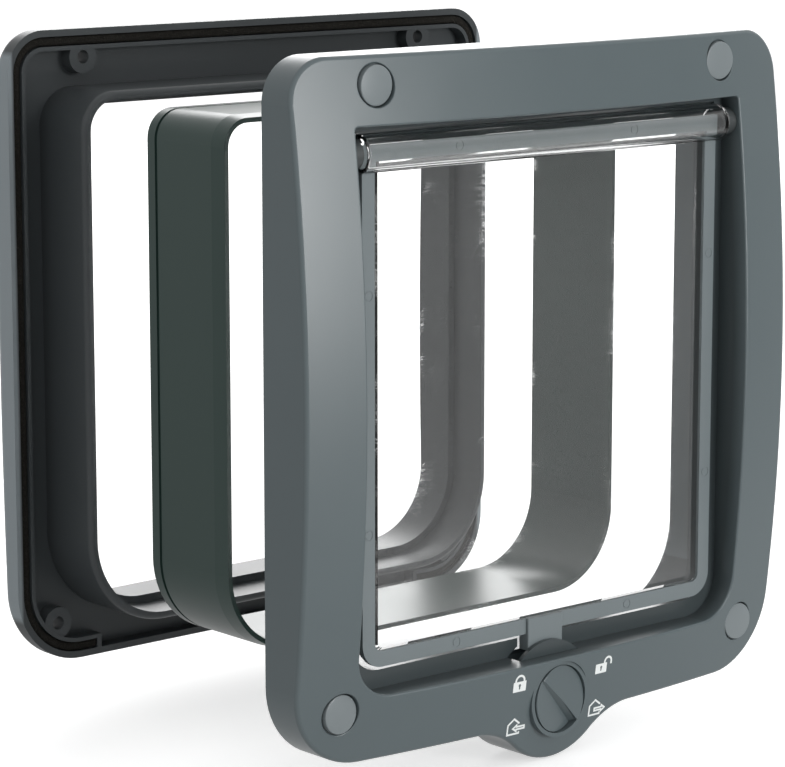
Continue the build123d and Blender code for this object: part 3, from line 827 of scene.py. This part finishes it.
class CATFLAP_OT_stage(Operator):
    """White studio: camera, lamps, floor and room light"""
    bl_idname = "catflap.stage"
    bl_label = "Studio"

    def execute(self, context):
        self.camera()
        self.lamp("Front lamp", FRONT_LAMP_AT, FRONT_LAMP_SIZE, stage().key_power)
        self.lamp("Back lamp", BACK_LAMP_AT, BACK_LAMP_SIZE, stage().back_power)
        self.floor()
        self.room()
        context.scene.view_settings.view_transform = "Standard"
        return {"FINISHED"}

    def camera(self):
        """Camera to the left of the set and a little above it."""
        data = bpy.data.cameras.new("Camera")
        data.lens, data.sensor_width, data.clip_start = stage().lens, SENSOR, CLIP_START
        camera = bpy.data.objects.new("Camera", data)
        camera.location = CAMERA_AT
        camera.rotation_euler = Vector(CAMERA_LOOK).to_track_quat("-Z", "Y").to_euler()
        bpy.context.scene.collection.objects.link(camera)
        bpy.context.scene.camera = camera

    def lamp(self, name, place, size, power):
        """Rectangular lamp that faces the set, and isn't seen itself."""
        data = bpy.data.lights.new(name, "AREA")
        data.shape, data.size, data.size_y, data.energy = "RECTANGLE", size[0], size[1], power
        lamp = bpy.data.objects.new(name, data)
        lamp.location = place
        lamp.rotation_euler = (Vector(LAMP_AIM) - Vector(place)).to_track_quat("-Z", "Y").to_euler()
        lamp.visible_camera = False
        lamp.visible_transmission = False
        bpy.context.scene.collection.objects.link(lamp)

    def glow(self, tree, strength):
        """White light of a strength that another node gives."""
        node = tree.nodes.new("ShaderNodeEmission")
        node.inputs["Color"].default_value = (1, 1, 1, 1)
        tree.links.new(strength, node.inputs["Strength"])
        return node.outputs[0]

    def rise(self, tree, place, direction, span, low, high):
        """A number from low to high as the place's part along the direction goes through the span."""
        along = tree.nodes.new("ShaderNodeVectorMath")
        along.operation = "DOT_PRODUCT"
        along.inputs[1].default_value = direction
        tree.links.new(place, along.inputs[0])
        level = tree.nodes.new("ShaderNodeMapRange")
        level.inputs["From Min"].default_value = span[0]
        level.inputs["From Max"].default_value = span[1]
        level.inputs["To Min"].default_value = low
        level.inputs["To Max"].default_value = high
        tree.links.new(along.outputs["Value"], level.inputs["Value"])
        return level.outputs["Result"]

    def mirrored(self, tree, place, span, near):
        """Brightness in reflections: grey on the near side, white on the far side, darker where a card is."""
        side = self.rise(tree, place, FAR_SIDE, span, near, 1.0)
        level = tree.nodes.new("ShaderNodeVectorMath")
        level.operation = "NORMALIZE"
        tree.links.new(place, level.inputs[0])
        way = level.outputs["Vector"]
        card = self.rise(tree, way, CARD_SIDE, CARD_SPAN, 1.0, 1.0 - stage().card)
        left = self.rise(tree, way, LEFT_CARD_SIDE, LEFT_CARD_SPAN, 1.0, 1.0 - stage().left_card)
        return math_node(tree, "MULTIPLY", side, math_node(tree, "MULTIPLY", card, left))

    def seen(self, tree, path):
        """Rays that the camera sees, straight or through glass."""
        return math_node(tree, "MAXIMUM", path.outputs["Is Camera Ray"], path.outputs["Is Transmission Ray"])

    def only_mirrored(self, tree, path):
        """Rays that come off a glossy surface, without the ones that went through glass."""
        through = math_node(tree, "SUBTRACT", 1.0, path.outputs["Is Transmission Ray"])
        return math_node(tree, "MULTIPLY", path.outputs["Is Glossy Ray"], through)

    def floor(self):
        """Level square under the lowest point."""
        z, s = CAD_BOX[0][2] - FLOOR_GAP, FLOOR_HALF
        mesh = bpy.data.meshes.new("floor")
        mesh.from_pydata([(-s, -s, z), (s, -s, z), (s, s, z), (-s, s, z)], [], [(0, 1, 2, 3)])
        mesh.materials.append(self.paper())
        floor = bpy.data.objects.new("floor", mesh)
        bpy.context.scene.collection.objects.link(floor)

    def paper(self):
        """White paper that keeps a soft shadow. The camera sees it lit up, and reflections see the studio."""
        material, tree, shader = start_material("Paper floor")
        if tree is None:
            return material
        place = tree.nodes.new("ShaderNodeTexCoord").outputs["Object"]
        soft = noise(tree, place, 3.0)
        tree.links.new(blend(tree, FLOOR_DARK, FLOOR_LIGHT, soft), shader.inputs["Base Color"])
        shader.inputs["Roughness"].default_value = 0.9
        shader.inputs["Specular IOR Level"].default_value = 0.1
        path = tree.nodes.new("ShaderNodeLightPath")
        lit = self.glow(tree, math_node(tree, "MULTIPLY", self.seen(tree, path), FLOOR_GLOW))
        add = tree.nodes.new("ShaderNodeAddShader")
        tree.links.new(shader.outputs[0], add.inputs[0])
        tree.links.new(lit, add.inputs[1])
        studio = self.glow(tree, self.mirrored(tree, place, FLOOR_RISE, stage().floor_gloss))
        mixed = tree.nodes.new("ShaderNodeMixShader")
        tree.links.new(self.only_mirrored(tree, path), mixed.inputs["Fac"])
        tree.links.new(add.outputs[0], mixed.inputs[1])
        tree.links.new(studio, mixed.inputs[2])
        out = next(n for n in tree.nodes if n.type == "OUTPUT_MATERIAL")
        tree.links.new(mixed.outputs[0], out.inputs["Surface"])
        return material

    def room(self):
        """White all round for the camera, the studio's levels in reflections, even light for all else."""
        world = bpy.data.worlds.new("Room")
        world.use_nodes = True
        tree = world.node_tree
        back = next(n for n in tree.nodes if n.type == "BACKGROUND")
        back.inputs["Color"].default_value = (1, 1, 1, 1)
        path = tree.nodes.new("ShaderNodeLightPath")
        see, gloss = self.seen(tree, path), self.only_mirrored(tree, path)
        place = tree.nodes.new("ShaderNodeTexCoord").outputs["Generated"]
        shown = math_node(tree, "MULTIPLY", gloss, self.mirrored(tree, place, ROOM_RISE, stage().near_gloss))
        rest = math_node(tree, "SUBTRACT", 1.0, math_node(tree, "MAXIMUM", see, gloss))
        even = math_node(tree, "MULTIPLY", rest, stage().sky)
        strength = math_node(tree, "ADD", math_node(tree, "ADD", see, shown), even)
        tree.links.new(strength, back.inputs["Strength"])
        bpy.context.scene.world = world


class CATFLAP_PT_panel(Panel):
    """Sizes and finishes, and one button for each group of pieces"""
    bl_idname = "CATFLAP_PT_panel"
    bl_label = "Cat Flap"
    bl_space_type = "VIEW_3D"
    bl_region_type = "UI"
    bl_category = "Cat Flap"

    def draw(self, context):
        scene = context.scene
        for group in (scene.cat_flap_colours, scene.cat_flap_finish, scene.cat_flap_stage):
            box = self.layout.box()
            for name in group.__annotations__:
                box.prop(group, name)
        for operator in OPERATORS:
            self.layout.operator(operator.bl_idname)


GROUPS = {
    "cat_flap_colours": CatFlapColours,
    "cat_flap_finish": CatFlapFinish,
    "cat_flap_stage": CatFlapStage,
}
OPERATORS = (
    CATFLAP_OT_indoor_frame,
    CATFLAP_OT_screws,
    CATFLAP_OT_flap,
    CATFLAP_OT_lock,
    CATFLAP_OT_symbols,
    CATFLAP_OT_tunnel,
    CATFLAP_OT_outdoor_frame,
    CATFLAP_OT_stage,
)


def register():
    for name, group in GROUPS.items():
        bpy.utils.register_class(group)
        setattr(bpy.types.Scene, name, PointerProperty(type=group))
    for cls in (*OPERATORS, CATFLAP_PT_panel):
        bpy.utils.register_class(cls)


def unregister():
    for cls in (CATFLAP_PT_panel, *reversed(OPERATORS)):
        bpy.utils.unregister_class(cls)
    for name, group in GROUPS.items():
        delattr(bpy.types.Scene, name)
        bpy.utils.unregister_class(group)


def main():
    register()
    bpy.ops.catflap.indoor_frame()
    bpy.ops.catflap.screws()
    bpy.ops.catflap.flap()
    bpy.ops.catflap.lock()
    bpy.ops.catflap.symbols()
    bpy.ops.catflap.tunnel()
    bpy.ops.catflap.outdoor_frame()
    bpy.ops.catflap.stage()


if __name__ == "__main__":
    main()
